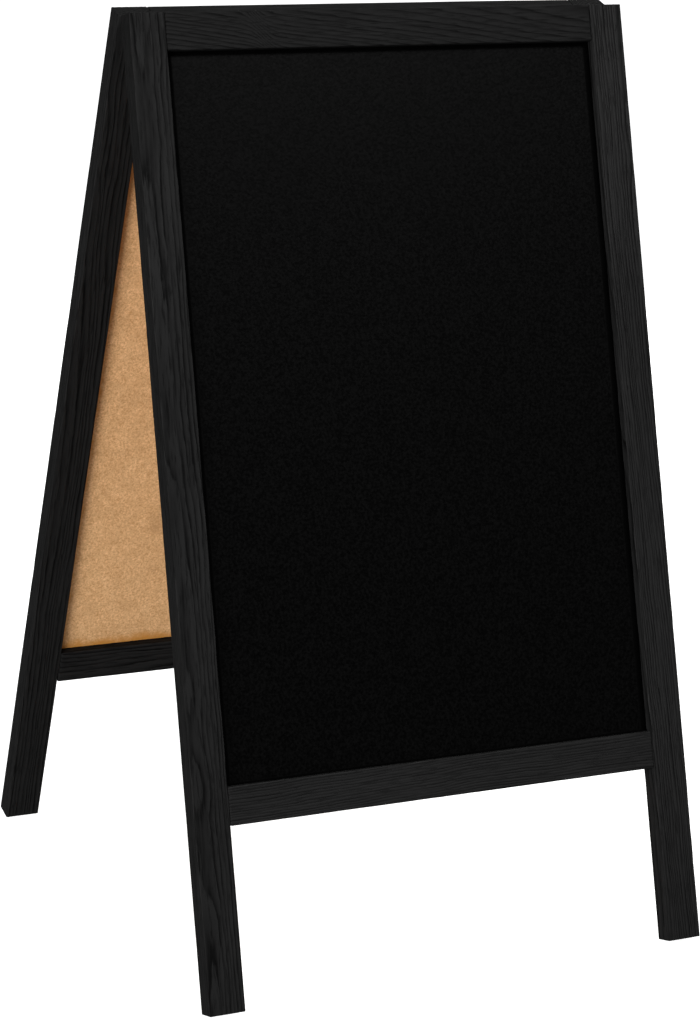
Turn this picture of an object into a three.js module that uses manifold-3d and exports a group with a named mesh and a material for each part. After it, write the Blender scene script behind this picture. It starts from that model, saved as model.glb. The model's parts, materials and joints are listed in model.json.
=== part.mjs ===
// Sandwich board: two framed chalkboard leaves, joined at the top by a pair of stop hinges.
// Millimetres, +Z up. The origin is on the floor, midway between the leaves, and the front
// leaf faces -Y. The board stands open, with the hinges' stop ears together.

import * as THREE from 'three';
import { mergeVertices } from 'three/addons/utils/BufferGeometryUtils.js';
import Module from 'manifold-3d';

const wasm = await Module();
wasm.setup();

// ---- Driving dimensions ----

const LEAF_WIDTH = 570;
const LEAF_LENGTH = 1000;
const LEAN = THREE.MathUtils.degToRad(16.2);

const FRAME_THICKNESS = 22;
const MEMBER_WIDTH = 39;
const FOOT_LENGTH = 184;
const ARRIS_RADIUS = 1.2;
const GLUE_GAP = 0.1;

const PANEL_THICKNESS = 3;
const GROOVE_WIDTH = 3.4;
const GROOVE_DEPTH = 6;
const PANEL_TONGUE = 5.5;

const DOWEL_RADIUS = 4;
const DOWEL_LENGTH = 40;
const DOWEL_CHAMFER = 1;
const DOWEL_BORE_RADIUS = 4.1;
const DOWEL_BORE_DEPTH = 21;
const DOWEL_INSETS = [9.5, 25];

const HINGE_OFFSET = 185;
const PLATE_WIDTH = 50;
const PLATE_REACH = 34;
const PLATE_THICKNESS = 2;
const KNUCKLE_RADIUS = 3.5;
const KNUCKLE_SPAN = 36;
const KNUCKLE_GAP = 0.2;
const PIN_RADIUS = 1.5;
const PIN_BORE_RADIUS = 1.58;
const PIN_LENGTH = 36.4;
const PIVOT_DROP = 4;
const PIVOT_OFFSET = 3.6;
const EAR_WIDTH = 6.6;
const EAR_RISE = 5.2;
const PLATE_CLEARANCE = 0.4;

const SCREW_LENGTH = 16;
const SCREW_TIP_LENGTH = 3;
const SCREW_SHANK_RADIUS = 1.5;
const SCREW_HEAD_RADIUS = 2.9;
const SCREW_HEAD_HEIGHT = 1.5;
const SCREW_SLOT_WIDTH = 0.8;
const SCREW_SLOT_DEPTH = 0.8;
const SCREW_CLEARANCE = 0.15;
const SCREW_PLACES = [[-17, -15], [17, -15], [0, -26]];

// ---- Sizes worked out from them ----

const STILE_X = LEAF_WIDTH / 2 - MEMBER_WIDTH / 2;
const OPENING_HALF_WIDTH = LEAF_WIDTH / 2 - MEMBER_WIDTH;
const OPENING_WIDTH = 2 * OPENING_HALF_WIDTH;
const OPENING_TOP = -MEMBER_WIDTH;
const OPENING_BOTTOM = -(LEAF_LENGTH - FOOT_LENGTH - MEMBER_WIDTH);
const MID_THICKNESS = -FRAME_THICKNESS / 2;
const PIVOT_HEIGHT = LEAF_LENGTH * Math.cos(LEAN)
  - PIVOT_OFFSET * Math.sin(LEAN) - PIVOT_DROP * Math.cos(LEAN);

// ---- Fineness of the mesh ----

const ROUND_SEGMENTS = 32;
const SMALL_SEGMENTS = 16;
const ARRIS_SEGMENTS = 5;
const CUTTER_OVERRUN = 1;
const WELD_DISTANCE = 1e-4;
const QUARTER_TURN = Math.PI / 2;

// ---- Materials ----

const blackWood = new THREE.MeshStandardMaterial({ color: 0x202020, roughness: 0.75, metalness: 0 });
const writingPanel = new THREE.MeshStandardMaterial({ color: 0x111111, roughness: 0.9, metalness: 0 });
const beech = new THREE.MeshStandardMaterial({ color: 0xc8a270, roughness: 0.7, metalness: 0 });
const steel = new THREE.MeshStandardMaterial({ color: 0x8c8f92, roughness: 0.4, metalness: 1 });

// ---- Solid helpers ----

function toSolid(geometry) {
  const bare = geometry.clone();
  bare.deleteAttribute('normal');
  bare.deleteAttribute('uv');
  const merged = mergeVertices(bare, WELD_DISTANCE);
  return new wasm.Manifold(new wasm.Mesh({
    numProp: 3,
    vertProperties: new Float32Array(merged.attributes.position.array),
    triVerts: new Uint32Array(merged.index.array),
  }));
}

function toGeometry(solid) {
  const mesh = solid.getMesh();
  const geometry = new THREE.BufferGeometry();
  geometry.setAttribute('position', new THREE.BufferAttribute(mesh.vertProperties, 3));
  geometry.setIndex(new THREE.BufferAttribute(mesh.triVerts, 1));
  geometry.computeVertexNormals();
  return geometry;
}

// A box from its lowest and highest corners.
function boxBetween(low, high) {
  const geometry = new THREE.BoxGeometry(high[0] - low[0], high[1] - low[1], high[2] - low[2]);
  geometry.translate((low[0] + high[0]) / 2, (low[1] + high[1]) / 2, (low[2] + high[2]) / 2);
  return toSolid(geometry);
}

// A cylinder along X, centred at the given point.
function rodAlongX(radius, length, x, y, z, segments = ROUND_SEGMENTS) {
  const geometry = new THREE.CylinderGeometry(radius, radius, length, segments);
  geometry.rotateZ(QUARTER_TURN);
  geometry.translate(x, y, z);
  return toSolid(geometry);
}

// A turned piece along +Y, from (radius, height) points that start and end on the axis.
function turned(points, segments = SMALL_SEGMENTS) {
  const profile = points.map(([radius, height]) => new THREE.Vector2(radius, height));
  return new THREE.LatheGeometry(profile, segments);
}

// A rectangle about the origin whose corners are quarter circles, joined by straight sides.
function roundedRectangle(width, height, radius) {
  const x = width / 2 - radius;
  const y = height / 2 - radius;
  const shape = new THREE.Shape();
  [[x, -y], [x, y], [-x, y], [-x, -y]].forEach(([cornerX, cornerY], corner) => {
    const start = (corner - 1) * QUARTER_TURN;
    shape.absarc(cornerX, cornerY, radius, start, start + QUARTER_TURN);
  });
  return shape;
}

// A planed bar with eased arrises, along +Z from 0, centred on its section.
function planedBar(width, length) {
  const section = roundedRectangle(width, FRAME_THICKNESS, ARRIS_RADIUS);
  const settings = { depth: length, bevelEnabled: false, curveSegments: ARRIS_SEGMENTS };
  return new THREE.ExtrudeGeometry(section, settings);
}

function named(name, geometry, material) {
  const mesh = new THREE.Mesh(geometry, material);
  mesh.name = name;
  return mesh;
}

// ---- One leaf ----
// In a leaf's own frame the inner face is y = 0, the writing side faces -y and the top is z = 0.

const RAIL_CENTRES = {
  top: OPENING_TOP + MEMBER_WIDTH / 2,
  bottom: OPENING_BOTTOM - MEMBER_WIDTH / 2,
};

// The dowels' heights, measured from each rail's outer edge, so that they miss the panel groove.
const DOWEL_HEIGHTS = {
  top: DOWEL_INSETS.map((inset) => -inset),
  bottom: DOWEL_INSETS.map((inset) => OPENING_BOTTOM - MEMBER_WIDTH + inset),
};

function stile(side) {
  const bar = planedBar(MEMBER_WIDTH, LEAF_LENGTH);
  bar.translate(side * STILE_X, MID_THICKNESS, -LEAF_LENGTH);
  const inner = side * OPENING_HALF_WIDTH;
  const grooveEdges = [inner + side * GROOVE_DEPTH, inner - side * CUTTER_OVERRUN];
  let solid = toSolid(bar).subtract(boxBetween(
    [Math.min(...grooveEdges), MID_THICKNESS - GROOVE_WIDTH / 2, OPENING_BOTTOM - GROOVE_DEPTH],
    [Math.max(...grooveEdges), MID_THICKNESS + GROOVE_WIDTH / 2, OPENING_TOP + GROOVE_DEPTH],
  ));
  for (const height of [...DOWEL_HEIGHTS.top, ...DOWEL_HEIGHTS.bottom]) {
    solid = solid.subtract(dowelBore(inner, height));
  }
  return toGeometry(solid);
}

// A rail's groove runs along the edge that faces the panel: `toPanel` is -1 or 1 in z.
function rail(place, toPanel) {
  const length = OPENING_WIDTH - 2 * GLUE_GAP;
  const bar = planedBar(MEMBER_WIDTH, length);
  bar.rotateZ(QUARTER_TURN);
  bar.rotateY(QUARTER_TURN);
  bar.rotateX(QUARTER_TURN);
  bar.translate(-length / 2, MID_THICKNESS, RAIL_CENTRES[place]);
  const edge = RAIL_CENTRES[place] + toPanel * MEMBER_WIDTH / 2;
  const grooveEdges = [edge - toPanel * GROOVE_DEPTH, edge + toPanel * CUTTER_OVERRUN];
  let solid = toSolid(bar).subtract(boxBetween(
    [-LEAF_WIDTH / 2, MID_THICKNESS - GROOVE_WIDTH / 2, Math.min(...grooveEdges)],
    [LEAF_WIDTH / 2, MID_THICKNESS + GROOVE_WIDTH / 2, Math.max(...grooveEdges)],
  ));
  for (const height of DOWEL_HEIGHTS[place]) {
    solid = solid.subtract(dowelBore(-OPENING_HALF_WIDTH, height));
    solid = solid.subtract(dowelBore(OPENING_HALF_WIDTH, height));
  }
  if (place === 'top') {
    for (const hingeX of [-HINGE_OFFSET, HINGE_OFFSET]) {
      for (const [x, z] of SCREW_PLACES) {
        solid = solid.subtract(screwSeat(hingeX + x, z));
      }
    }
  }
  return toGeometry(solid);
}

function dowelBore(x, z) {
  return rodAlongX(DOWEL_BORE_RADIUS, 2 * DOWEL_BORE_DEPTH, x, MID_THICKNESS, z, SMALL_SEGMENTS);
}

function dowel(x, z) {
  const half = DOWEL_LENGTH / 2;
  const tip = DOWEL_RADIUS - DOWEL_CHAMFER;
  const geometry = turned([
    [0, -half],
    [tip, -half],
    [DOWEL_RADIUS, -half + DOWEL_CHAMFER],
    [DOWEL_RADIUS, half - DOWEL_CHAMFER],
    [tip, half],
    [0, half],
  ]);
  geometry.rotateZ(QUARTER_TURN);
  geometry.translate(x, MID_THICKNESS, z);
  return toGeometry(toSolid(geometry));
}

function panel() {
  const halfWidth = OPENING_HALF_WIDTH + PANEL_TONGUE;
  return toGeometry(boxBetween(
    [-halfWidth, MID_THICKNESS - PANEL_THICKNESS / 2, OPENING_BOTTOM - PANEL_TONGUE],
    [halfWidth, MID_THICKNESS + PANEL_THICKNESS / 2, OPENING_TOP + PANEL_TONGUE],
  ));
}

// ---- Hinges ----
// A plate is flat on the inner face. Its ears rise past the pin's axis at both ends, and meet
// the other plate's ears when the leaves are open, which stops them there.

const KNUCKLE_LENGTH = KNUCKLE_SPAN / 3 - KNUCKLE_GAP;
const KNUCKLE_PLACES = {
  outer: [-KNUCKLE_SPAN / 3, KNUCKLE_SPAN / 3],
  middle: [0],
};

function hingePlate(x, knuckles) {
  const plateTop = -PIVOT_DROP - KNUCKLE_RADIUS - PLATE_CLEARANCE;
  let solid = boxBetween(
    [-PLATE_WIDTH / 2, 0, -PLATE_REACH],
    [PLATE_WIDTH / 2, PLATE_THICKNESS, plateTop],
  );
  for (const end of [-1, 1]) {
    const edges = [end * PLATE_WIDTH / 2, end * (PLATE_WIDTH / 2 - EAR_WIDTH)];
    solid = solid.add(boxBetween(
      [Math.min(...edges), 0, plateTop - CUTTER_OVERRUN],
      [Math.max(...edges), PLATE_THICKNESS, EAR_RISE - PIVOT_DROP],
    ));
  }
  for (const place of KNUCKLE_PLACES[knuckles]) {
    solid = solid.add(boxBetween(
      [place - KNUCKLE_LENGTH / 2, 0, plateTop - CUTTER_OVERRUN],
      [place + KNUCKLE_LENGTH / 2, PLATE_THICKNESS, -PIVOT_DROP],
    ));
    solid = solid.add(rodAlongX(KNUCKLE_RADIUS, KNUCKLE_LENGTH, place, PIVOT_OFFSET, -PIVOT_DROP));
  }
  solid = solid.subtract(rodAlongX(PIN_BORE_RADIUS, PLATE_WIDTH, 0, PIVOT_OFFSET, -PIVOT_DROP));
  for (const [screwX, screwZ] of SCREW_PLACES) {
    solid = solid.subtract(screwSeat(screwX, screwZ));
  }
  const geometry = toGeometry(solid);
  geometry.translate(x, 0, 0);
  return geometry;
}

function hingePin(x) {
  const half = PIN_LENGTH / 2;
  const dome = PIN_RADIUS / 4;
  const geometry = turned([
    [0, -half],
    [PIN_RADIUS - dome, -half],
    [PIN_RADIUS, -half + dome],
    [PIN_RADIUS, half - dome],
    [PIN_RADIUS - dome, half],
    [0, half],
  ], ROUND_SEGMENTS);
  geometry.rotateZ(QUARTER_TURN);
  geometry.translate(x, PIVOT_OFFSET, -PIVOT_DROP);
  return toGeometry(toSolid(geometry));
}

// ---- Screws ----
// A countersunk wood screw, driven along -y with its head flush with the plate.

function screwProfile(grow) {
  const head = SCREW_HEAD_RADIUS + grow;
  const shank = SCREW_SHANK_RADIUS + grow;
  const neck = PLATE_THICKNESS - SCREW_HEAD_HEIGHT;
  const tip = PLATE_THICKNESS - SCREW_LENGTH - grow;
  return [
    [0, tip],
    [shank, tip + SCREW_TIP_LENGTH],
    [shank, neck],
    [head, PLATE_THICKNESS],
    [0, PLATE_THICKNESS],
  ];
}

// The bore and countersink that a screw sits in, run on past the plate to cut it cleanly.
function screwSeat(x, z) {
  const mouth = PLATE_THICKNESS + CUTTER_OVERRUN;
  const profile = screwProfile(SCREW_CLEARANCE).slice(0, -1);
  profile.push([SCREW_HEAD_RADIUS + SCREW_CLEARANCE, mouth], [0, mouth]);
  const geometry = turned(profile);
  geometry.translate(x, 0, z);
  return toSolid(geometry);
}

function screw(x, z) {
  const geometry = turned(screwProfile(0));
  geometry.translate(x, 0, z);
  const reach = SCREW_HEAD_RADIUS + CUTTER_OVERRUN;
  const slot = boxBetween(
    [x - reach, PLATE_THICKNESS - SCREW_SLOT_DEPTH, z - SCREW_SLOT_WIDTH / 2],
    [x + reach, PLATE_THICKNESS + CUTTER_OVERRUN, z + SCREW_SLOT_WIDTH / 2],
  );
  return toGeometry(toSolid(geometry).subtract(slot));
}

// ---- Assembly ----
// A leaf hangs from the hinge axis. Left and right are as seen by someone facing the front
// leaf, so the rear leaf, which is turned about, has them the other way in its own frame:
// `turn` is 1 for the front leaf and -1 for the rear one.

function leaf(name, turn) {
  const knuckles = name === 'front' ? 'outer' : 'middle';
  const body = new THREE.Group();
  body.position.set(0, -PIVOT_OFFSET, PIVOT_DROP);
  body.add(named(`${name}_top_rail`, rail('top', -1), blackWood));
  body.add(named(`${name}_bottom_rail`, rail('bottom', 1), blackWood));
  body.add(named(`${name}_writing_panel`, panel(), writingPanel));
  for (const [sideName, worldSide] of [['left', -1], ['right', 1]]) {
    const side = worldSide * turn;
    body.add(named(`${name}_${sideName}_stile`, stile(side), blackWood));
    for (const place of ['top', 'bottom']) {
      DOWEL_HEIGHTS[place].forEach((height, index) => {
        const dowelName = `${name}_${sideName}_${place}_dowel_${index + 1}`;
        body.add(named(dowelName, dowel(side * OPENING_HALF_WIDTH, height), beech));
      });
    }
    const hingeX = side * HINGE_OFFSET;
    body.add(named(`${sideName}_hinge_${name}_plate`, hingePlate(hingeX, knuckles), steel));
    if (name === 'front') {
      body.add(named(`${sideName}_hinge_pin`, hingePin(hingeX), steel));
    }
    SCREW_PLACES.forEach(([x, z], index) => {
      body.add(named(`${sideName}_hinge_${name}_screw_${index + 1}`, screw(hingeX + x, z), steel));
    });
  }
  const leaning = new THREE.Group();
  leaning.rotation.x = -LEAN;
  leaning.add(body);
  const facing = new THREE.Group();
  facing.rotation.z = turn === 1 ? 0 : Math.PI;
  facing.position.z = PIVOT_HEIGHT;
  facing.add(leaning);
  return facing;
}

const sandwichBoard = new THREE.Group();
sandwichBoard.name = 'sandwich_board';
sandwichBoard.add(leaf('front', 1));
sandwichBoard.add(leaf('rear', -1));

export default sandwichBoard;
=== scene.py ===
import json
import math

import bmesh
import bpy
import numpy as np
from mathutils import Matrix, Vector


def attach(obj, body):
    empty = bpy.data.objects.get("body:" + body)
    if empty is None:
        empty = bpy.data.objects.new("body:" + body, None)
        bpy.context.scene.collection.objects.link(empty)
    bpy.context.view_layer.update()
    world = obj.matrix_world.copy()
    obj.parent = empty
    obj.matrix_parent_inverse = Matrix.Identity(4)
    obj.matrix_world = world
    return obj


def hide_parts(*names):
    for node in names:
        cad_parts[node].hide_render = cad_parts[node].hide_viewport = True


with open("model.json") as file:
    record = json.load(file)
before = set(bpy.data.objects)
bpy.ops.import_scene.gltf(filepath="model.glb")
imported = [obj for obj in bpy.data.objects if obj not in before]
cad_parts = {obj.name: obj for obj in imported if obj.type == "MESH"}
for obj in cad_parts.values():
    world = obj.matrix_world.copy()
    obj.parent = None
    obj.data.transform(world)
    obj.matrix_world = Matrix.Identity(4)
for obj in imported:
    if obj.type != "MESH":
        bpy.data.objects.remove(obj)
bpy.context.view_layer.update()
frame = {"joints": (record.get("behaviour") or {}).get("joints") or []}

# A sandwich board: two framed chalkboard leaves of brushed, black-stained pine.
# Lengths are in metres. A leaf's own frame has x across, z up from the top edge, and y = 0 on
# the inner face with the writing side towards -y. A timber member's own frame has its length
# along z from 0, its width along x with the panel groove on the +x edge, and its thickness on y.

MM = 0.001

# ---- Sizes, which repeat the CAD model's ----

LEAF_WIDTH = 570 * MM
LEAF_LENGTH = 1000 * MM
THICKNESS = 22 * MM
MEMBER_WIDTH = 39 * MM
FOOT_LENGTH = 184 * MM
PIVOT_OFFSET = 3.6 * MM
PIVOT_DROP = 4 * MM
GLUE_GAP = 0.1 * MM
GROOVE_WIDTH = 3.4 * MM
GROOVE_DEPTH = 6 * MM
PANEL_THICKNESS = 3 * MM
PANEL_TONGUE = 5.5 * MM

DOWEL_RADIUS = 4 * MM
DOWEL_LENGTH = 40 * MM
DOWEL_CHAMFER = 1 * MM
DOWEL_INSETS = [9.5 * MM, 25 * MM]

HINGE_OFFSET = 185 * MM
PLATE_WIDTH = 50 * MM
PLATE_REACH = 34 * MM
PLATE_THICKNESS = 2 * MM
PLATE_CLEARANCE = 0.4 * MM
KNUCKLE_RADIUS = 3.5 * MM
KNUCKLE_SPAN = 36 * MM
KNUCKLE_GAP = 0.2 * MM
PIN_RADIUS = 1.5 * MM
PIN_BORE_RADIUS = 1.58 * MM
PIN_LENGTH = 36.4 * MM
EAR_WIDTH = 6.6 * MM
EAR_RISE = 5.2 * MM

SCREW_LENGTH = 16 * MM
SCREW_TIP_LENGTH = 3 * MM
SCREW_SHANK_RADIUS = 1.5 * MM
SCREW_HEAD_RADIUS = 2.9 * MM
SCREW_HEAD_HEIGHT = 1.5 * MM
SCREW_SLOT_WIDTH = 0.8 * MM
SCREW_SLOT_DEPTH = 0.8 * MM
SCREW_CLEARANCE = 0.15 * MM
SCREW_PLACES = [(-17 * MM, -15 * MM), (17 * MM, -15 * MM), (0, -26 * MM)]

OPENING_HALF_WIDTH = LEAF_WIDTH / 2 - MEMBER_WIDTH
OPENING_TOP = -MEMBER_WIDTH
OPENING_BOTTOM = -(LEAF_LENGTH - FOOT_LENGTH - MEMBER_WIDTH)
RAIL_LENGTH = 2 * OPENING_HALF_WIDTH - 2 * GLUE_GAP

FOLD = frame["joints"][0]
PIVOT = Vector(FOLD["pos_m"])
LEAN = math.radians(FOLD["range_deg"][1]) / 2

# ---- Sizes of the detail ----

ARRIS_RADIUS = 1.2 * MM
STILE_END_EASING = 1.0 * MM
RAIL_END_EASING = 1.6 * MM
GRAIN_DEPTH = 0.35 * MM
COAT_THICKNESS = 0.25 * MM
SHEET_EASING = 0.2 * MM

# How finely meshes are divided, the angles in degrees that count as sharp, and distances too
# small to be seen.

ACROSS_STEP = 1.0 * MM
ALONG_STEP = 3.0 * MM
CORNER_STEPS = 5
END_ARC_ANGLES = (90, 60, 30)
END_FACE_RINGS = 10
PANEL_CELLS = (40, 60)
TURNED_SEGMENTS = 40
CURL_POINTS = 28
ARC_POINTS = 7
SHARP_ANGLE = 50
TURNED_SHARP_ANGLE = 35
CARVED_SHARP_ANGLE = 40
EASED_ANGLE = 40
HAIR = 0.01 * MM
WELD_DISTANCE = 0.005 * MM
SLIVER_WIDTH = 0.001 * MM


# ---- Noise for the mesh code ----

class SmoothNoise:
    """Value noise on a seeded lattice, from -1 to 1, one cell to each unit."""

    SIZE = 32  # cells to each side of the lattice, after which it repeats

    def __init__(self, seed):
        self.table = np.random.default_rng(seed).uniform(-1, 1, (self.SIZE,) * 3)

    def __call__(self, x, y, z):
        """The noise at each of the places given by three arrays."""
        cells = [np.floor(c).astype(int) for c in (x, y, z)]
        parts = [c - i for c, i in zip((x, y, z), cells)]
        parts = [p * p * (3 - 2 * p) for p in parts]
        total = 0
        for corner in np.ndindex(2, 2, 2):
            weight = 1
            index = []
            for axis, step in enumerate(corner):
                weight = weight * (parts[axis] if step else 1 - parts[axis])
                index.append((cells[axis] + step) % self.SIZE)
            total = total + weight * self.table[tuple(index)]
        return total


# ---- Pine grain ----

class Cut:
    """How a member lies in its tree: the pith's place and drift, and the growth rings' spacing.

    The rings are surfaces about the pith, so faces, edges and ends all show one solid's grain.
    Places are in millimetres in the member's own frame. A crook is where a branch outside the
    member pushes the grain over: its height, its length along the member, and how far.
    `tone` scales the stain's lightness, partly the stain's own spread and partly painted light and
    shade;
    `bite` is how hard the brush cut. Each is about 1.
    """

    # Each wander of the rings: its share of the wave, its width and length in millimetres, and
    # where in the noise it is taken from, so that none repeats another.
    WANDERS = ((1, 45, 150, 9), (0.35, 11, 46, 3), (0.08, 3, 14, 0))
    CROOK_SLANT = 0.4
    UNEVEN_SHARE = 0.4
    UNEVEN_RINGS = 2.1
    UNEVEN_START = 7
    SOFT_FADE = 2.2
    WALL_SHARE = 0.12
    STREAK_SIZE = (1.6, 1.6, 38)

    # How deep the brush cuts in soft wood, how much more a streak adds, and a streak's own depth.
    SOFT_BITE = 0.65
    SOFT_STREAK_BITE = 0.5
    STREAK_BITE = 0.2

    def __init__(self, seed, pith, drift, spacing, wave, crooks=(), tone=1.0, bite=1.0):
        self.noise = SmoothNoise(seed)
        self.pith = pith
        self.drift = drift
        self.spacing = spacing
        self.wave = wave
        self.crooks = crooks
        self.tone = tone
        self.bite = bite

    def rings(self, points):
        """Each point's place in the count of growth rings. A whole number is a ring's start."""
        x, y, z = (points / MM).T
        noise = self.noise
        radius = np.hypot(
            x - self.pith[0] - self.drift[0] * z,
            y - self.pith[1] - self.drift[1] * z,
        )
        for share, width, length, start in self.WANDERS:
            shift = noise(x / width, y / width + start, z / length)
            radius = radius + share * self.wave * shift
        for height, length, push in self.crooks:
            below = (height - z + self.CROOK_SLANT * x) / length
            radius = radius - push / (1 + np.exp(below))
        nothing = np.zeros_like(x)
        years = radius / (self.UNEVEN_RINGS * self.spacing)
        uneven = self.UNEVEN_SHARE * noise(years, nothing, nothing + self.UNEVEN_START)
        return radius / self.spacing + uneven

    def valley(self, rings, points):
        """How deep the brush has cut at each point: 1 in the soft wood, 0 on a hard ridge."""
        place = rings % 1
        soft = (1 - place) ** self.SOFT_FADE
        wall = np.clip(place / self.WALL_SHARE, 0, 1)
        streak = 0.5 + 0.5 * self.noise(*(points / MM / self.STREAK_SIZE).T)
        cut = soft * wall * (self.SOFT_BITE + self.SOFT_STREAK_BITE * streak)
        return np.clip(cut + self.STREAK_BITE * streak, 0, 1)


# ---- Timber members ----

def section(inset, groove):
    """A member's outline, pulled in by `inset`, as rows of x, y, outward normal and arris mask.

    The groove's own walls have no normal, so the brush doesn't cut them. The plain edge opposite
    has as many points as the grooved one.
    """
    half_x = MEMBER_WIDTH / 2 - inset
    half_y = THICKNESS / 2 - inset
    radius = max(ARRIS_RADIUS - inset, 0)
    flat_x = half_x - radius
    flat_y = half_y - radius
    mouth = min(GROOVE_WIDTH / 2, flat_y)
    wide = round((MEMBER_WIDTH - 2 * ARRIS_RADIUS) / ACROSS_STEP)
    lip = round((THICKNESS / 2 - ARRIS_RADIUS - GROOVE_WIDTH / 2) / ACROSS_STEP)
    rows = []

    def side(start, end, count, normal):
        """A straight run of points, without its end."""
        for share in np.linspace(0, 1, count, endpoint=False):
            point = np.array(start) * (1 - share) + np.array(end) * share
            rows.append((*point, *normal, 0))

    def corner(centre_x, centre_y, first):
        """A quarter turn about a centre from an angle in degrees, without its end."""
        for share in np.linspace(0, 1, CORNER_STEPS, endpoint=False):
            angle = math.radians(first + 90 * share)
            across, up = math.cos(angle), math.sin(angle)
            at = (centre_x + radius * across, centre_y + radius * up)
            rows.append((*at, across, up, math.sin(math.pi * share)))

    worked = 0 if groove else 1
    groove_rows = [
        (half_x, -mouth, worked, 0, 0),
        (half_x - groove, -mouth, worked, 0, 0),
        (half_x - groove, mouth, worked, 0, 0),
    ]
    side((half_x, -flat_y), (half_x, -mouth), lip, (1, 0))
    rows.extend(groove_rows)
    side((half_x, mouth), (half_x, flat_y), lip, (1, 0))
    corner(flat_x, flat_y, 0)
    side((flat_x, half_y), (-flat_x, half_y), wide, (0, 1))
    corner(-flat_x, flat_y, 90)
    side((-half_x, flat_y), (-half_x, -flat_y), 2 * lip + len(groove_rows), (-1, 0))
    corner(-flat_x, -flat_y, 180)
    side((-flat_x, -half_y), (flat_x, -half_y), wide, (0, -1))
    corner(flat_x, -flat_y, 270)
    return np.array(rows)


def member_rings(length, groove_span, easing):
    """Every ring of a member's mesh as (height, inset, groove depth), from end to end."""
    low, high = groove_span
    heights = set(np.arange(easing, length - easing, ALONG_STEP))
    heights |= {low - HAIR, low, high, high + HAIR, length - easing}
    body = [
        (height, 0, GROOVE_DEPTH if low <= height <= high else 0)
        for height in sorted(heights) if easing <= height <= length - easing
    ]
    through = low <= 0
    curve = []
    for angle in END_ARC_ANGLES:
        turn = math.radians(angle)
        curve.append((easing * (1 - math.sin(turn)), easing * (1 - math.cos(turn))))
    if not through:
        insets = np.linspace(THICKNESS / 2, easing, END_FACE_RINGS, endpoint=False)
        curve = [(0, inset) for inset in insets] + curve
    groove = GROOVE_DEPTH if through else 0
    foot = [(rise, inset, groove) for rise, inset in curve]
    head = [(length - rise, inset, groove) for rise, inset in reversed(curve)]
    return foot + body + head


def member_mesh(name, length, groove_span, easing, cut):
    """A whole member with the brushed grain in its surface and what its material needs to know."""
    verts, normals, arrises = [], [], []
    rings = member_rings(length, groove_span, easing)
    for height, inset, groove in rings:
        outline = section(inset, groove)
        count = len(outline)
        verts.append(np.column_stack([outline[:, :2], np.full(count, height)]))
        eased = min(1, inset / easing)
        upright = -eased if height < length / 2 else eased
        flat = math.sqrt(1 - eased * eased)
        normals.append(np.column_stack([outline[:, 2:4] * flat, np.full(count, upright)]))
        arrises.append(np.maximum(outline[:, 4], math.sin(math.pi * eased)))
    points = np.concatenate(verts)
    growth = cut.rings(points)
    depth = cut.valley(growth, points) * cut.bite * GRAIN_DEPTH
    points = points - np.concatenate(normals) * depth[:, None]
    around = np.arange(count)
    after = (around + 1) % count
    faces = []
    for low in np.arange(len(rings) - 1) * count:
        high = low + count
        band = np.column_stack([low + around, low + after, high + after, high + around])
        faces.extend(tuple(corners) for corners in band.tolist())
    last = len(rings) - 1
    faces.append(tuple(reversed(around.tolist())))
    faces.append(tuple((last * count + around).tolist()))
    mesh = bpy.data.meshes.new(name)
    mesh.from_pydata(points.tolist(), [], faces)
    layers = {
        "rings": growth,
        "arris": np.concatenate(arrises),
        "tone": np.full(len(points), cut.tone),
        "bite": np.full(len(points), cut.bite),
    }
    for label, values in layers.items():
        layer = mesh.attributes.new(label, "FLOAT", "POINT")
        layer.data.foreach_set("value", values.astype(np.float32))
    tidy_mesh(mesh)
    return mesh


def tidy_mesh(mesh, sharp_angle=SHARP_ANGLE):
    """Welds coincident points, turns every face outwards and shades it smooth."""
    work = bmesh.new()
    work.from_mesh(mesh)
    bmesh.ops.remove_doubles(work, verts=work.verts, dist=WELD_DISTANCE)
    bmesh.ops.dissolve_degenerate(work, edges=work.edges, dist=SLIVER_WIDTH)
    bmesh.ops.recalc_face_normals(work, faces=work.faces)
    for face in work.faces:
        face.smooth = True
    work.to_mesh(mesh)
    work.free()
    mesh.set_sharp_from_angle(angle=math.radians(sharp_angle))


# ---- Where things go ----

def leaf_matrix(leaf):
    """Takes a leaf's own frame to the object's, with the board standing open."""
    turn = Matrix.Rotation(math.pi if leaf == "rear" else 0, 4, "Z")
    hang = Matrix.Translation((0, -PIVOT_OFFSET, PIVOT_DROP))
    return Matrix.Translation(PIVOT) @ turn @ Matrix.Rotation(-LEAN, 4, "X") @ hang


def stile_matrix(side):
    """side is -1 or 1 in the leaf's x. The groove, on +x, turns to face the panel."""
    turn = Matrix.Rotation(math.pi if side > 0 else 0, 4, "Z")
    across = side * (LEAF_WIDTH - MEMBER_WIDTH) / 2
    return Matrix.Translation((across, -THICKNESS / 2, -LEAF_LENGTH)) @ turn


def rail_matrix(place):
    """The top rail's groove faces down and the bottom rail's faces up."""
    lay = Matrix(((0, 0, 1, 0), (0, 1, 0, 0), (-1, 0, 0, 0), (0, 0, 0, 1)))
    flip = Matrix.Rotation(math.pi if place == "bottom" else 0, 4, "Z")
    middle = OPENING_TOP + MEMBER_WIDTH / 2
    if place == "bottom":
        middle = OPENING_BOTTOM - MEMBER_WIDTH / 2
    return Matrix.Translation((-RAIL_LENGTH / 2, -THICKNESS / 2, middle)) @ lay @ flip


def add_piece(name, mesh, material, leaf, placement, replaced):
    """Puts a mesh in its place on a leaf, where it rides along and stands for a CAD node."""
    piece = bpy.data.objects.new(name, mesh)
    bpy.context.scene.collection.objects.link(piece)
    mesh.materials.clear()
    mesh.materials.append(material)
    piece.matrix_world = leaf_matrix(leaf) @ placement
    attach(piece, leaf + "_leaf")
    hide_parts(replaced)
    return piece


# ---- Materials ----

def grey(level):
    """An even grey, from 0 for black to 1 for white, as a colour."""
    return (level, level, level, 1)


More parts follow.
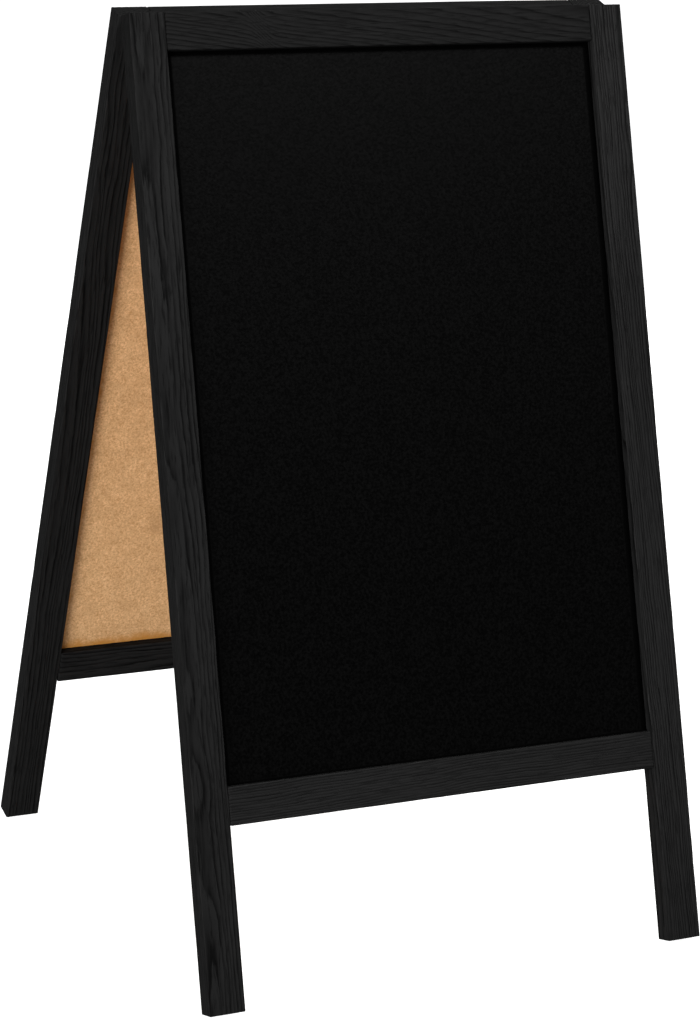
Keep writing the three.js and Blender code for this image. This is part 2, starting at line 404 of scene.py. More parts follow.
class Nodes:
    """Shorthand for building one material's node tree."""

    def __init__(self, name):
        self.material = bpy.data.materials.new(name)
        self.material.use_nodes = True
        self.tree = self.material.node_tree
        self.shader = self.tree.nodes["Principled BSDF"]

    def add(self, kind, settings=None, **inputs):
        """A new node with its settings made and its inputs fed, by name with _ for a space."""
        node = self.tree.nodes.new(kind)
        for key, value in (settings or {}).items():
            setattr(node, key, value)
        for key, value in inputs.items():
            self.feed(node, key.replace("_", " "), value)
        return node

    def feed(self, node, socket, value):
        """Links a socket to an input, or sets it to a number or colour that is even all over."""
        target = node.inputs[int(socket) if socket.isdigit() else socket]
        if isinstance(value, bpy.types.NodeSocket):
            self.tree.links.new(value, target)
        else:
            target.default_value = value

    def stretched(self, scale):
        """The piece's own coordinates, scaled, and moved along so that no two pieces match."""
        place = self.add("ShaderNodeTexCoord").outputs["Object"]
        random = self.add("ShaderNodeObjectInfo").outputs["Random"]
        moved = self.add("ShaderNodeVectorMath", {"operation": "ADD"})
        self.tree.links.new(place, moved.inputs[0])
        self.tree.links.new(random, moved.inputs[1])
        mapping = self.add("ShaderNodeMapping", Vector=moved.outputs[0], Scale=scale)
        return mapping.outputs["Vector"]

    def noise(self, scale, detail=4.0, roughness=0.5, distortion=0.0):
        """Fractal noise about 0.5, with `scale` cells to the metre along each axis."""
        node = self.add(
            "ShaderNodeTexNoise", Vector=self.stretched(scale), Scale=1.0, Detail=detail,
            Roughness=roughness, Distortion=distortion,
        )
        return node.outputs["Fac"]

    def attribute(self, name):
        """One of the values that the mesh carries at its points."""
        return self.add("ShaderNodeAttribute", {"attribute_name": name}).outputs["Fac"]

    def maths(self, operation, first, second=0.0):
        node = self.add("ShaderNodeMath", {"operation": operation})
        self.feed(node, "0", first)
        self.feed(node, "1", second)
        return node.outputs[0]

    def ramp(self, value, low, high, to_low, to_high):
        """Takes low to to_low and high to to_high, in a straight line that stops at both."""
        node = self.add(
            "ShaderNodeMapRange", Value=value, From_Min=low, From_Max=high, To_Min=to_low,
            To_Max=to_high,
        )
        return node.outputs["Result"]

    def mix(self, share, first, second):
        """The first colour where share is 0 and the second where it is 1."""
        node = self.add("ShaderNodeMix", {"data_type": "RGBA"})
        self.feed(node, "0", share)
        self.feed(node, "6", first)
        self.feed(node, "7", second)
        return node.outputs[2]

    def scaled(self, colour, share):
        node = self.add("ShaderNodeVectorMath", {"operation": "SCALE"}, Scale=share)
        self.tree.links.new(colour, node.inputs[0])
        return node.outputs[0]

    def bump(self, height, distance):
        """Relief whose height from 0 to 1 stands for `distance`."""
        return self.add("ShaderNodeBump", Height=height, Distance=distance).outputs["Normal"]

    def finish(self, **inputs):
        """Feeds the shader and gives the finished material."""
        for key, value in inputs.items():
            self.feed(self.shader, key.replace("_", " "), value)
        return self.material


def stained_pine():
    """Black stain over brushed pine: each ring's soft wood is cut back, and painted darker as shade
    in the cuts.
    """
    nodes = Nodes("stained_pine")
    ragged = nodes.noise((380, 380, 36), detail=4, roughness=0.65)
    streak = nodes.noise((300, 300, 9), detail=3, roughness=0.6)
    fibre = nodes.noise((480, 480, 40), detail=5, roughness=0.7)
    patch = nodes.noise((22, 22, 5), detail=2)
    arris = nodes.attribute("arris")
    ragged_by = nodes.ramp(ragged, 0.25, 0.75, -0.16, 0.16)
    rings = nodes.maths("ADD", nodes.attribute("rings"), ragged_by)
    place = nodes.maths("FRACT", rings)
    wall = nodes.ramp(place, 0.0, 0.10, 0, 1)
    soft = nodes.maths("POWER", nodes.maths("SUBTRACT", 1.0, place), 2.0)
    even_line = nodes.maths("MULTIPLY", wall, soft)
    line = nodes.maths("MULTIPLY", even_line, nodes.ramp(streak, 0.3, 0.6, 0.4, 1.5))
    pores = nodes.ramp(fibre, 0.50, 0.66, 0, 0.8)
    # The soft wood's lines and the pores go near black: the pores' own colour, and painted shade in
    # the brushed-out grooves.
    marks = nodes.maths("MULTIPLY", nodes.maths("MAXIMUM", line, pores), nodes.attribute("bite"))
    groove_shade_and_pores = nodes.maths("MINIMUM", marks, 1.0)
    colour = nodes.mix(nodes.ramp(patch, 0.3, 0.7, 0, 1), grey(0.0112), grey(0.0142))
    worn = nodes.maths("MULTIPLY", arris, nodes.ramp(streak, 0.4, 0.75, 0.1, 0.6))
    colour = nodes.mix(worn, colour, (0.026, 0.0258, 0.0255, 1))
    # Each member's tone, partly painted light and shade, scales its stain.
    colour = nodes.scaled(colour, nodes.attribute("tone"))
    colour = nodes.mix(groove_shade_and_pores, colour, grey(0.0016))
    rough = nodes.ramp(groove_shade_and_pores, 0, 1, 0.62, 0.85)
    relief = nodes.maths("SUBTRACT", 1.0, groove_shade_and_pores)
    normal = nodes.bump(relief, 0.4 * MM)
    return nodes.finish(
        Base_Color=colour, Roughness=rough, Normal=normal, Specular_IOR_Level=0.05,
    )


def near_frame(nodes, wander, side_reach, head_reach, foot_reach):
    """From 0 out on a panel to 1 at the frame, each reach away from its part of the frame."""
    own = nodes.add("ShaderNodeTexCoord").outputs["Object"]
    place = nodes.add("ShaderNodeSeparateXYZ", Vector=own)
    across = nodes.maths("ADD", nodes.maths("ABSOLUTE", place.outputs["X"]), wander)
    rise = nodes.maths("ADD", place.outputs["Z"], wander)
    fall = nodes.maths("SUBTRACT", place.outputs["Z"], wander)
    side = nodes.ramp(across, OPENING_HALF_WIDTH - side_reach, OPENING_HALF_WIDTH, 0, 1)
    head = nodes.ramp(rise, OPENING_TOP - head_reach, OPENING_TOP, 0, 1)
    foot = nodes.ramp(fall, OPENING_BOTTOM + foot_reach, OPENING_BOTTOM, 0, 1)
    return nodes.maths("MAXIMUM", side, nodes.maths("MAXIMUM", foot, head))


def chalk_coat():
    """Matt black chalkboard paint, rolled on with a mottled nap, and a painted shadow by the frame.
    """
    nodes = Nodes("chalk_coat")
    mottle = nodes.noise((360, 360, 360), detail=3, roughness=0.6)
    cloud = nodes.noise((60, 60, 60), detail=6, roughness=0.65)
    colour = nodes.mix(nodes.ramp(mottle, 0.36, 0.64, 0, 1), grey(0.0001), grey(0.0017))
    wander = nodes.ramp(cloud, 0.3, 0.7, -0.3 * MM, 0.3 * MM)
    edge = near_frame(nodes, wander, side_reach=8.5 * MM, head_reach=5 * MM, foot_reach=3 * MM)
    # A band by the frame is painted near black and made rough: the painted shadow that the frame's
    # lip casts on the sunk panel.
    painted_shadow = nodes.ramp(edge, 0.0, 0.42, 0, 1)
    colour = nodes.mix(painted_shadow, colour, grey(0.00005))
    rough_cloud = nodes.ramp(cloud, 0.3, 0.7, 0.35, 0.39)
    rough_nap = nodes.ramp(mottle, 0.3, 0.7, 0.0, 0.09)
    rough = nodes.maths("ADD", rough_cloud, rough_nap)
    rough = nodes.maths("MAXIMUM", rough, nodes.ramp(painted_shadow, 0, 0.7, 0.4, 1.0))
    normal = nodes.bump(mottle, 0.17 * MM)
    return nodes.finish(
        Base_Color=colour, Roughness=rough, Normal=normal, Specular_IOR_Level=0.036,
    )


def hardboard():
    """Bare hardboard: pressed brown fibres with darker flecks, and a darker amber band by the
    frame.
    """
    nodes = Nodes("hardboard")
    fibre = nodes.noise((430, 430, 430), detail=6, roughness=0.75, distortion=0.5)
    fleck = nodes.noise((260, 260, 420), detail=5, roughness=0.8, distortion=0.7)
    cloud = nodes.noise((55, 55, 55), detail=5, roughness=0.7)
    stain = nodes.noise((16, 16, 16), detail=5, roughness=0.7)
    dark_fibre = (0.53, 0.275, 0.105, 1)
    pale_fibre = (0.93, 0.595, 0.315, 1)
    dull_cloud = (0.50, 0.28, 0.12, 1)
    dark_fleck = (0.36, 0.165, 0.055, 1)
    dark_stain = (0.36, 0.20, 0.085, 1)
    amber = (0.62, 0.27, 0.05, 1)
    colour = nodes.mix(nodes.ramp(fibre, 0.37, 0.63, 0, 1), dark_fibre, pale_fibre)
    colour = nodes.mix(nodes.ramp(cloud, 0.4, 0.72, 0, 0.5), colour, dull_cloud)
    colour = nodes.mix(nodes.ramp(fleck, 0.58, 0.70, 0, 0.7), colour, dark_fleck)
    colour = nodes.mix(nodes.ramp(stain, 0.56, 0.70, 0, 0.4), colour, dark_stain)
    wander = nodes.ramp(cloud, 0.3, 0.7, -4 * MM, 4 * MM)
    amber_band = near_frame(nodes, wander, side_reach=8 * MM, head_reach=14 * MM, foot_reach=11 * MM)
    # Within a band by the frame, widest under the top rail, the colour turns a darker amber.
    colour = nodes.mix(nodes.maths("MULTIPLY", amber_band, 0.9), colour, amber)
    rough = nodes.ramp(fibre, 0.3, 0.7, 0.62, 0.8)
    normal = nodes.bump(fibre, 0.15 * MM)
    return nodes.finish(
        Base_Color=colour, Roughness=rough, Normal=normal, Specular_IOR_Level=0.15,
    )


def zinc_steel(name, dull, bright):
    """Zinc-plated steel with a faint rolled lay and a cloudy bloom, from dull to bright."""
    nodes = Nodes(name)
    lay = nodes.noise((60, 1500, 1500), detail=4)
    bloom = nodes.noise((160, 160, 160), detail=3)
    colour = nodes.mix(nodes.ramp(bloom, 0.3, 0.7, 0, 1), dull, bright)
    rough = nodes.ramp(lay, 0.3, 0.7, 0.28, 0.42)
    normal = nodes.bump(lay, 0.02 * MM)
    return nodes.finish(Base_Color=colour, Roughness=rough, Normal=normal, Metallic=1.0)


def beech():
    """Bare beech with a fine straight grain."""
    nodes = Nodes("beech")
    grain = nodes.noise((35, 900, 900), detail=5)
    dark_grain = (0.50, 0.30, 0.14, 1)
    pale_grain = (0.66, 0.45, 0.25, 1)
    colour = nodes.mix(nodes.ramp(grain, 0.3, 0.7, 0, 1), dark_grain, pale_grain)
    return nodes.finish(Base_Color=colour, Roughness=nodes.ramp(grain, 0.3, 0.7, 0.5, 0.65))


PINE = stained_pine()
COAT = chalk_coat()
BOARD = hardboard()
STEEL = zinc_steel("zinc_steel", (0.42, 0.42, 0.41, 1), (0.58, 0.58, 0.56, 1))
SCREW_STEEL = zinc_steel("screw_steel", (0.50, 0.50, 0.49, 1), (0.66, 0.66, 0.65, 1))
BEECH = beech()


# ---- The frames ----

# The tones are partly painted light and shade: each is set member by member to even out how lit the
# member looks.
CUTS = {
    "front_left_stile": Cut(
        seed=11, pith=(-15, 20), drift=(0.006, 0.004), spacing=2.3, wave=2.6, tone=0.88,
    ),
    "front_right_stile": Cut(
        seed=12, pith=(-38, 16), drift=(0.022, 0.006), spacing=3.0, wave=3.4, tone=1.15, bite=0.95,
    ),
    "front_top_rail": Cut(
        seed=13, pith=(-91, 24), drift=(0.145, 0.0), spacing=4.4, wave=2.0,
        crooks=[(104, 4.5, 22)], tone=0.6, bite=0.8,
    ),
    "front_bottom_rail": Cut(
        seed=14, pith=(-46, 20), drift=(0.03, 0.02), spacing=2.6, wave=3.0, tone=1.05, bite=0.75,
    ),
    "rear_left_stile": Cut(
        seed=15, pith=(-40, 30), drift=(0.012, 0.02), spacing=2.8, wave=2.6, tone=1.05,
    ),
    "rear_right_stile": Cut(seed=16, pith=(-48, 30), drift=(0.01, 0.02), spacing=3.0, wave=2.0),
    "rear_top_rail": Cut(seed=17, pith=(-60, 40), drift=(0.06, 0.02), spacing=3.2, wave=2.2),
    "rear_bottom_rail": Cut(seed=18, pith=(-40, 30), drift=(0.04, 0.02), spacing=2.6, wave=3.0),
}


def add_frame(leaf, turn):
    """A leaf's stiles and rails. A stile's groove stops short of its foot and its head."""
    groove_foot = FOOT_LENGTH + MEMBER_WIDTH - GROOVE_DEPTH
    groove_head = LEAF_LENGTH - MEMBER_WIDTH + GROOVE_DEPTH
    span = (groove_foot, groove_head)
    for side_name, world_side in (("left", -1), ("right", 1)):
        name = f"{leaf}_{side_name}_stile"
        mesh = member_mesh(name, LEAF_LENGTH, span, STILE_END_EASING, CUTS[name])
        place = stile_matrix(world_side * turn)
        add_piece(name + "_timber", mesh, PINE, leaf, place, name)
    for place in ("top", "bottom"):
        name = f"{leaf}_{place}_rail"
        mesh = member_mesh(name, RAIL_LENGTH, (0, RAIL_LENGTH), RAIL_END_EASING, CUTS[name])
        add_piece(name + "_timber", mesh, PINE, leaf, rail_matrix(place), name)


# ---- The writing panels ----

def slab_mesh(name, low, high, cells):
    """A closed slab whose two broad faces are grids of `cells` squares along x and z."""
    xs = np.linspace(low[0], high[0], cells[0] + 1)
    zs = np.linspace(low[2], high[2], cells[1] + 1)
    grid_x, grid_z = np.meshgrid(xs, zs)
    count = grid_x.size
    points = []
    for y in (low[1], high[1]):
        points.append(np.column_stack([grid_x.ravel(), np.full(count, y), grid_z.ravel()]))
    columns = cells[0] + 1
    faces = []
    for row in range(cells[1]):
        for column in range(cells[0]):
            first = row * columns + column
            square = (first, first + 1, first + columns + 1, first + columns)
            faces.append(square)
            faces.append(tuple(i + count for i in reversed(square)))
    border = list(range(columns))
    border += [columns * (row + 1) - 1 for row in range(1, cells[1] + 1)]
    border += list(range(count - 2, count - columns - 1, -1))
    border += [columns * row for row in range(cells[1] - 1, 0, -1)]
    for here, there in zip(border, border[1:] + border[:1]):
        faces.append((there, here, here + count, there + count))
    mesh = bpy.data.meshes.new(name)
    mesh.from_pydata(np.concatenate(points).tolist(), [], faces)
    tidy_mesh(mesh)
    return mesh


def add_panel(leaf):
    """A leaf's panel: a painted coat on the writing side and the bare board behind it."""
    node = leaf + "_writing_panel"
    half = OPENING_HALF_WIDTH + PANEL_TONGUE
    bottom = OPENING_BOTTOM - PANEL_TONGUE
    top = OPENING_TOP + PANEL_TONGUE
    front = -THICKNESS / 2 - PANEL_THICKNESS / 2
    back = front + PANEL_THICKNESS
    coat_back = front + COAT_THICKNESS
    coat = slab_mesh(leaf + "_coat", (-half, front, bottom), (half, coat_back, top), PANEL_CELLS)
    add_piece(leaf + "_chalk_coat", coat, COAT, leaf, Matrix(), node)
    board = slab_mesh(leaf + "_board", (-half, coat_back, bottom), (half, back, top), PANEL_CELLS)
    add_piece(leaf + "_hardboard", board, BOARD, leaf, Matrix(), node)


# ---- Turned pieces: dowels, pins and screws ----

ALONG_Y = Matrix.Rotation(math.radians(-90), 4, "X")
ALONG_X = Matrix.Rotation(math.radians(90), 4, "Y")


def lathe_mesh(name, rows, segments, ripple=None):
    """A closed piece turned about z, from (radius, height) rows that start and end on the axis.

    ripple(angle, radius, height), where given, is the radius to use in place of each row's.
    """
    work = bmesh.new()
    loops = []
    for radius, height in rows:
        if radius == 0:
            loops.append([work.verts.new((0, 0, height))])
            continue
        loop = []
        for step in range(segments):
            angle = 2 * math.pi * step / segments
            reach = ripple(angle, radius, height) if ripple else radius
            loop.append(work.verts.new((reach * math.cos(angle), reach * math.sin(angle), height)))
        loops.append(loop)
    for low, high in zip(loops, loops[1:]):
        for step in range(segments):
            corners = [low[step % len(low)], low[(step + 1) % len(low)]]
            corners += [high[(step + 1) % len(high)], high[step % len(high)]]
            work.faces.new(list(dict.fromkeys(corners)))
    mesh = bpy.data.meshes.new(name)
    work.to_mesh(mesh)
    work.free()
    tidy_mesh(mesh, TURNED_SHARP_ANGLE)
    return mesh


FLUTES = 16
FLUTE_SEGMENTS = 6
FLUTE_DEPTH = 0.35 * MM
DOWEL_ROWS = 9


def dowel_mesh():
    """A beech dowel with chamfered ends and straight glue flutes."""
    def fluted(angle, radius, height):
        """The dowel's radius, cut in by evenly spaced straight flutes."""
        return radius - FLUTE_DEPTH * max(0, math.cos(FLUTES * angle)) ** 2

    half = DOWEL_LENGTH / 2
    tip = DOWEL_RADIUS - DOWEL_CHAMFER
    heights = np.linspace(DOWEL_CHAMFER - half, half - DOWEL_CHAMFER, DOWEL_ROWS)
    body = [(DOWEL_RADIUS, height) for height in heights]
    rows = [(0, -half), (tip, -half), *body, (tip, half), (0, half)]
    return lathe_mesh("dowel", rows, FLUTES * FLUTE_SEGMENTS, fluted)


PIN_DOME_ANGLES = (0, 30, 60, 90)


def pin_mesh():
    """A hinge pin with both ends rounded over."""
    half = PIN_LENGTH / 2
    dome = PIN_RADIUS / 2
    head = []
    for angle in PIN_DOME_ANGLES:
        turn = math.radians(angle)
        radius = PIN_RADIUS - dome + dome * math.cos(turn)
        head.append((radius, half - dome + dome * math.sin(turn)))
    foot = [(radius, -height) for radius, height in reversed(head)]
    return lathe_mesh("pin", [(0, -half), *foot, *head, (0, half)], TURNED_SEGMENTS)


SCREW_CORE_RADIUS = 1.0 * MM
THREAD_PITCH = 1.4 * MM
THREAD_TOP = -3 * MM
THREAD_ROWS = 10
RIDGE_SHARE = 0.28
SCREW_POINT = 0.3 * MM
HEAD_LIP = 0.15 * MM
SLOT_OVERRUN = 1 * MM


def screw_mesh():
    """A slotted countersunk wood screw along z, its head's face at z = 0 and its tip below."""
    def threaded(angle, radius, height):
        """The screw's radius: as it is above the thread, and a tapering helical ridge below."""
        if height > THREAD_TOP:
            return radius
        turn = (height / THREAD_PITCH - angle / (2 * math.pi)) % 1
        ridge = max(0, 1 - abs(turn - 0.5) / RIDGE_SHARE)
        taper = min(1, (height + SCREW_LENGTH) / SCREW_TIP_LENGTH)
        crest = SCREW_CORE_RADIUS + (SCREW_SHANK_RADIUS - SCREW_CORE_RADIUS) * ridge
        return crest * taper

    rows = [(0, -SCREW_LENGTH)]
    for height in np.arange(SCREW_POINT - SCREW_LENGTH, THREAD_TOP, THREAD_PITCH / THREAD_ROWS):
        rows.append((SCREW_SHANK_RADIUS, height))
    rows += [
        (SCREW_SHANK_RADIUS, THREAD_TOP + HEAD_LIP),
        (SCREW_SHANK_RADIUS, -SCREW_HEAD_HEIGHT),
        (SCREW_HEAD_RADIUS, -HEAD_LIP),
        (SCREW_HEAD_RADIUS - HEAD_LIP / 2, 0),
        (0, 0),
    ]
    blank = lathe_mesh("screw", rows, TURNED_SEGMENTS, threaded)
    reach = SCREW_HEAD_RADIUS + SLOT_OVERRUN
    half = SCREW_SLOT_WIDTH / 2
    outline = [
        (-half, -SCREW_SLOT_DEPTH),
        (half, -SCREW_SLOT_DEPTH),
        (half, SLOT_OVERRUN),
        (-half, SLOT_OVERRUN),
    ]
    slot = extrusion_mesh("slot", outline, -reach, reach)
    return carved(blank, [("DIFFERENCE", slot)])


# ---- Pressed pieces: hinge plates ----

def extrusion_mesh(name, outline, low, high, easing=0):
    """A closed prism along x from low to high, whose section is the outline's (y, z) points."""
    count = len(outline)
    points = [(x, y, z) for x in (low, high) for y, z in outline]
    faces = [tuple(reversed(range(count))), tuple(range(count, 2 * count))]
    for here in range(count):
        there = (here + 1) % count
        faces.append((here, there, there + count, here + count))
    mesh = bpy.data.meshes.new(name)
    mesh.from_pydata(points, [], faces)
    tidy_mesh(mesh, TURNED_SHARP_ANGLE)
    if easing:
        ease_edges(mesh, easing)
    return mesh


def ease_edges(mesh, width):
    """Rounds every sharp edge of the mesh over."""
    work = bmesh.new()
    work.from_mesh(mesh)
    sharp = [edge for edge in work.edges if edge.calc_face_angle() > math.radians(EASED_ANGLE)]
    bmesh.ops.bevel(work, geom=sharp, offset=width, segments=2, profile=0.5, affect="EDGES")
    work.to_mesh(mesh)
    work.free()
    tidy_mesh(mesh)


def carved(mesh, cuts):
    """The mesh with other closed meshes joined to it or cut from it."""
    body = bpy.data.objects.new("carving", mesh)
    spent = [body]
    for operation, tool_mesh in cuts:
        tool = bpy.data.objects.new("carving_tool", tool_mesh)
        spent.append(tool)
        cut = body.modifiers.new("cut", "BOOLEAN")
        cut.operation = operation
        cut.solver = "EXACT"
        cut.object = tool
    for piece in spent:
        bpy.context.scene.collection.objects.link(piece)
    bpy.context.view_layer.update()
    finished = body.evaluated_get(bpy.context.evaluated_depsgraph_get())
    result = bpy.data.meshes.new_from_object(finished)
    for piece in spent:
        bpy.data.meshes.remove(piece.data)
    tidy_mesh(result, CARVED_SHARP_ANGLE)
    return result


def rounded_outline(corners):
    """The outline through (across, up, radius) corners, each turned by an arc of its radius."""
    outline = []
    for index, (across, up, radius) in enumerate(corners):
        corner = Vector((across, up))
        if radius == 0:
            outline.append(corner)
            continue
        before = (Vector(corners[index - 1][:2]) - corner).normalized()
        after = (Vector(corners[(index + 1) % len(corners)][:2]) - corner).normalized()
        half_angle = before.angle(after) / 2
        centre = corner + (before + after).normalized() * radius / math.sin(half_angle)
        run = radius / math.tan(half_angle)
        start = corner + before * run - centre
        end = corner + after * run - centre
        for turn in np.linspace(0, math.pi / 2, ARC_POINTS):
            outline.append(centre + start * math.cos(turn) + end * math.sin(turn))
    return [tuple(point) for point in outline]


PLATE_TOP = -PIVOT_DROP - KNUCKLE_RADIUS - PLATE_CLEARANCE
PLATE_CORNER_RADIUS = 4 * MM
EAR_CORNER_RADIUS = 1.2 * MM
KNUCKLE_STEP = KNUCKLE_SPAN / 3
KNUCKLE_PLACES = {"front": (-KNUCKLE_STEP, KNUCKLE_STEP), "rear": (0,)}
KNUCKLE_LENGTH = KNUCKLE_STEP - KNUCKLE_GAP
CURL_END = math.radians(-100)
CURL_ROOT = 1 * MM


def plate_outline():
    """The flat plate's (x, z) outline, with a stop ear at each end of its top edge."""
    side = PLATE_WIDTH / 2
    ear = side - EAR_WIDTH
    crest = EAR_RISE - PIVOT_DROP
    half = [
        (side, -PLATE_REACH, PLATE_CORNER_RADIUS),
        (side, crest, EAR_CORNER_RADIUS),
        (ear, crest, EAR_CORNER_RADIUS),
        (ear, PLATE_TOP, 0),
    ]
    mirrored = [(-across, up, radius) for across, up, radius in reversed(half)]
    return rounded_outline(half + mirrored)


def curl_outline():
    """A knuckle's (y, z) section: the sheet runs up from the plate and wraps the pin."""
    def arc(radius, turns):
        """Points about the pin's axis."""
        points = []
        for turn in turns:
            depth = PIVOT_OFFSET + radius * math.cos(turn)
            points.append((depth, radius * math.sin(turn) - PIVOT_DROP))
        return points

    turns = np.linspace(math.pi, CURL_END, CURL_POINTS)
    root = PLATE_TOP - CURL_ROOT
    around = arc(KNUCKLE_RADIUS, turns) + arc(PIN_BORE_RADIUS, reversed(turns))
    return [(0, root), *around, (PLATE_THICKNESS, root)]


def seat_mesh():
    """The countersunk hole that a screw passes through, along z with its mouth at z = 0."""
    neck = SCREW_SHANK_RADIUS + SCREW_CLEARANCE
    head = SCREW_HEAD_RADIUS + SCREW_CLEARANCE
    rows = [
        (0, -2 * PLATE_THICKNESS),
        (neck, -2 * PLATE_THICKNESS),
        (neck, -SCREW_HEAD_HEIGHT),
        (head, 0),
        (head, PLATE_THICKNESS),
        (0, PLATE_THICKNESS),
    ]
    return lathe_mesh("seat", rows, TURNED_SEGMENTS)


def plate_mesh(leaf):
    """One leaf's hinge plate: a flat sheet with knuckles curled from it and countersunk holes."""
    flat = extrusion_mesh("plate", plate_outline(), 0, PLATE_THICKNESS, SHEET_EASING)
    swap_x_and_y = Matrix(((0, 1, 0, 0), (1, 0, 0, 0), (0, 0, 1, 0), (0, 0, 0, 1)))
    flat.transform(swap_x_and_y)
    flat.flip_normals()
    cuts = []
    for place in KNUCKLE_PLACES[leaf]:
        ends = (place - KNUCKLE_LENGTH / 2, place + KNUCKLE_LENGTH / 2)
        cuts.append(("UNION", extrusion_mesh("curl", curl_outline(), *ends, SHEET_EASING)))
    for place_x, place_z in SCREW_PLACES:
        seat = seat_mesh()
        seat.transform(Matrix.Translation((place_x, PLATE_THICKNESS, place_z)) @ ALONG_Y)
        cuts.append(("DIFFERENCE", seat))
    return carved(flat, cuts)


# ---- The hinges and dowels in place ----

PIN_MESH = pin_mesh()
SCREW_MESH = screw_mesh()
DOWEL_MESH = dowel_mesh()
PLATE_MESHES = {"front": plate_mesh("front"), "rear": plate_mesh("rear")}
DRIVING_SEED = 31
driving = np.random.default_rng(DRIVING_SEED)


def add_steel(name, mesh, material, leaf, place, node):
    """Adds a steel piece, its broad faces shaded flat right up to their eased edges."""
    piece = add_piece(name, mesh, material, leaf, place, node)
    shading = piece.modifiers.new("flat_faces", "WEIGHTED_NORMAL")
    shading.keep_sharp = True


def add_hinge(leaf, side_name, hinge_x):
    """One leaf's share of a hinge. The pin goes with the front leaf, and slots lie as driven."""
    hinge = side_name + "_hinge"
    plate = f"{hinge}_{leaf}_plate"
    place = Matrix.Translation((hinge_x, 0, 0))
    add_steel(plate + "_steel", PLATE_MESHES[leaf], STEEL, leaf, place, plate)
    if leaf == "front":
        place = Matrix.Translation((hinge_x, PIVOT_OFFSET, -PIVOT_DROP)) @ ALONG_X
        add_steel(hinge + "_pin_steel", PIN_MESH, STEEL, leaf, place, hinge + "_pin")
    for index, (screw_x, screw_z) in enumerate(SCREW_PLACES):
        screw = f"{hinge}_{leaf}_screw_{index + 1}"
        driven = Matrix.Rotation(driving.uniform(0, math.pi), 4, "Z")
        seat = Matrix.Translation((hinge_x + screw_x, PLATE_THICKNESS, screw_z))
        place = seat @ ALONG_Y @ driven
        add_steel(screw + "_steel", SCREW_MESH, SCREW_STEEL, leaf, place, screw)


DOWEL_HEIGHTS = {
    "top": [-inset for inset in DOWEL_INSETS],
    "bottom": [OPENING_BOTTOM - MEMBER_WIDTH + inset for inset in DOWEL_INSETS],
}


def add_dowels(leaf, side_name, joint_x):
    """The dowels of one stile, half of each in the stile and half in the rail."""
    for rail, heights in DOWEL_HEIGHTS.items():
        for index, height in enumerate(heights):
            dowel = f"{leaf}_{side_name}_{rail}_dowel_{index + 1}"
            place = Matrix.Translation((joint_x, -THICKNESS / 2, height)) @ ALONG_X
            add_piece(dowel + "_beech", DOWEL_MESH, BEECH, leaf, place, dowel)


for leaf_name, leaf_turn in (("front", 1), ("rear", -1)):
    add_frame(leaf_name, leaf_turn)
    add_panel(leaf_name)
    for side_name, world_side in (("left", -1), ("right", 1)):
        add_hinge(leaf_name, side_name, world_side * leaf_turn * HINGE_OFFSET)
        add_dowels(leaf_name, side_name, world_side * leaf_turn * OPENING_HALF_WIDTH)


# ---- Stage: floor, light and camera ----

TENT_RADIUS = 60
TENT_WALL = 40
TENT_HEIGHT = 60
TENT_SEGMENTS = 64


def add_tent():
    """A closed white tent whose floor the board stands on. It is seen, but lights nothing."""
    rows = [(0, 0), (TENT_RADIUS, 0), (TENT_RADIUS, TENT_WALL), (0, TENT_HEIGHT)]
    mesh = lathe_mesh("tent", rows, TENT_SEGMENTS)
    mesh.flip_normals()
    tent = bpy.data.objects.new("tent", mesh)
    bpy.context.scene.collection.objects.link(tent)
    cloth = Nodes("tent_cloth")
    tone = cloth.mix(cloth.noise((3, 3, 3)), grey(0.49), grey(0.51))
    mesh.materials.append(cloth.finish(
        Base_Color=tone, Roughness=0.95, Specular_IOR_Level=0.0, Emission_Color=grey(1),
        Emission_Strength=1.0,
    ))
    tent.visible_diffuse = False
    tent.visible_glossy = False
    tent.visible_shadow = False


# Each light: its name, its place, the point that it faces, the side of its square and its watts.
LAMPS = (
    ("softbox", (1.08, -1.82, 3.05), (0, 0, 0.6), 0.7, 86),
    ("front_fill", (-2.6, -1.7, 0.9), (0, 0, 0.45), 1.6, 88),
    ("back_fill", (1.9, 2.5, 0.9), (0, 0, 0.45), 1.6, 60),
)


def add_area_light(name, place, target, side, power):
    """A square soft light that faces its target."""
    light = bpy.data.lights.new(name, "AREA")
    light.shape = "SQUARE"
    light.size = side
    light.energy = power
    lamp = bpy.data.objects.new(name, light)
    bpy.context.scene.collection.objects.link(lamp)
    lamp.location = place
    lamp.rotation_mode = "QUATERNION"
    lamp.rotation_quaternion = (Vector(target) - Vector(place)).to_track_quat("-Z", "Y")


SKY_AT_HORIZON = 0.1
SKY_OVERHEAD = 0.55
BOUNCE = 0.6


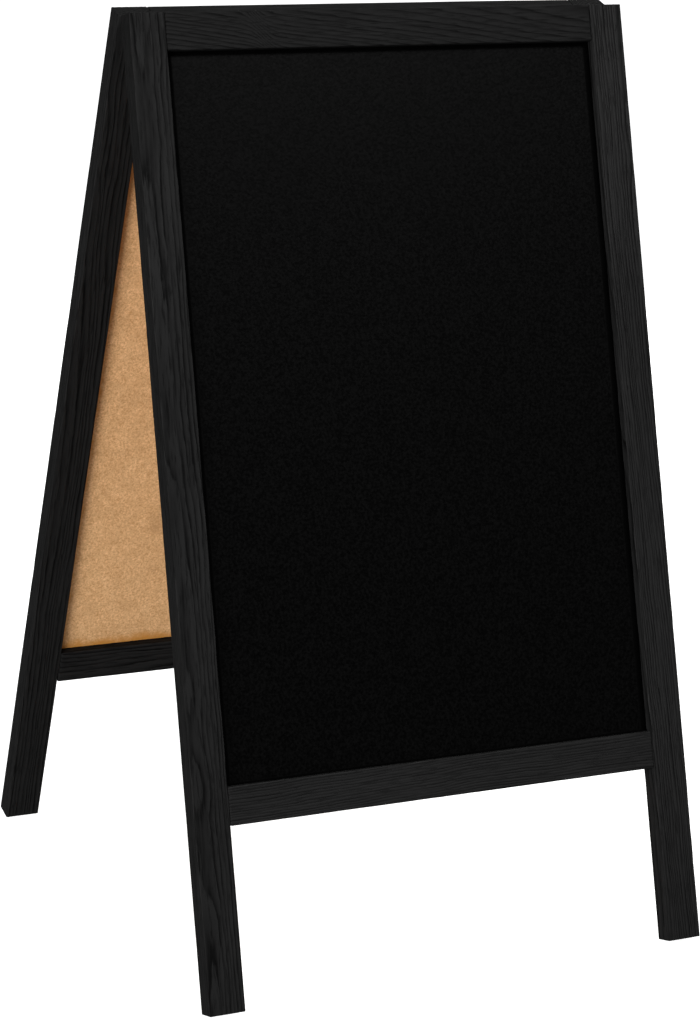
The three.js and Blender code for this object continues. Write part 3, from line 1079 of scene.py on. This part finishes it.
def add_world():
    """The light from all round: dim at the horizon, brighter overhead and up from the floor."""
    world = bpy.data.worlds.new("studio")
    world.use_nodes = True
    tree = world.node_tree
    direction = tree.nodes.new("ShaderNodeTexCoord").outputs["Generated"]
    split = tree.nodes.new("ShaderNodeSeparateXYZ")
    tree.links.new(direction, split.inputs["Vector"])
    strength = tree.nodes.new("ShaderNodeMath")
    strength.operation = "MAXIMUM"
    for socket, end, glow in ((0, 1, SKY_OVERHEAD), (1, -1, BOUNCE)):
        slope = tree.nodes.new("ShaderNodeMapRange")
        tree.links.new(split.outputs["Z"], slope.inputs["Value"])
        slope.inputs["From Max"].default_value = end
        slope.inputs["To Min"].default_value = SKY_AT_HORIZON
        slope.inputs["To Max"].default_value = glow
        tree.links.new(slope.outputs["Result"], strength.inputs[socket])
    tree.links.new(strength.outputs[0], tree.nodes["Background"].inputs["Strength"])
    tree.nodes["Background"].inputs["Color"].default_value = grey(1)
    bpy.context.scene.world = world


CAMERA_PLACE = Vector((-1.4842, -2.933, 1.3488))
CAMERA_YAW = 25.968
CAMERA_PITCH = -12.996
CAMERA_ROLL = 2.294
CAMERA_LENS = 110.95
CAMERA_SENSOR = 36
CAMERA_SHIFT = (0.0377, -0.1535)


def add_camera():
    """The camera, in degrees: yaw right of +y, pitch upwards, roll anticlockwise from behind."""
    data = bpy.data.cameras.new("camera")
    data.sensor_width = CAMERA_SENSOR
    data.lens = CAMERA_LENS
    data.shift_x, data.shift_y = CAMERA_SHIFT
    camera = bpy.data.objects.new("camera", data)
    bpy.context.scene.collection.objects.link(camera)
    turn = Matrix.Rotation(math.radians(-CAMERA_YAW), 4, "Z")
    tilt = Matrix.Rotation(math.radians(90 + CAMERA_PITCH), 4, "X")
    roll = Matrix.Rotation(math.radians(CAMERA_ROLL), 4, "Z")
    camera.matrix_world = Matrix.Translation(CAMERA_PLACE) @ turn @ tilt @ roll
    bpy.context.scene.camera = camera


add_tent()
add_world()
for lamp_settings in LAMPS:
    add_area_light(*lamp_settings)
add_camera()
bpy.context.scene.view_settings.view_transform = "Standard"
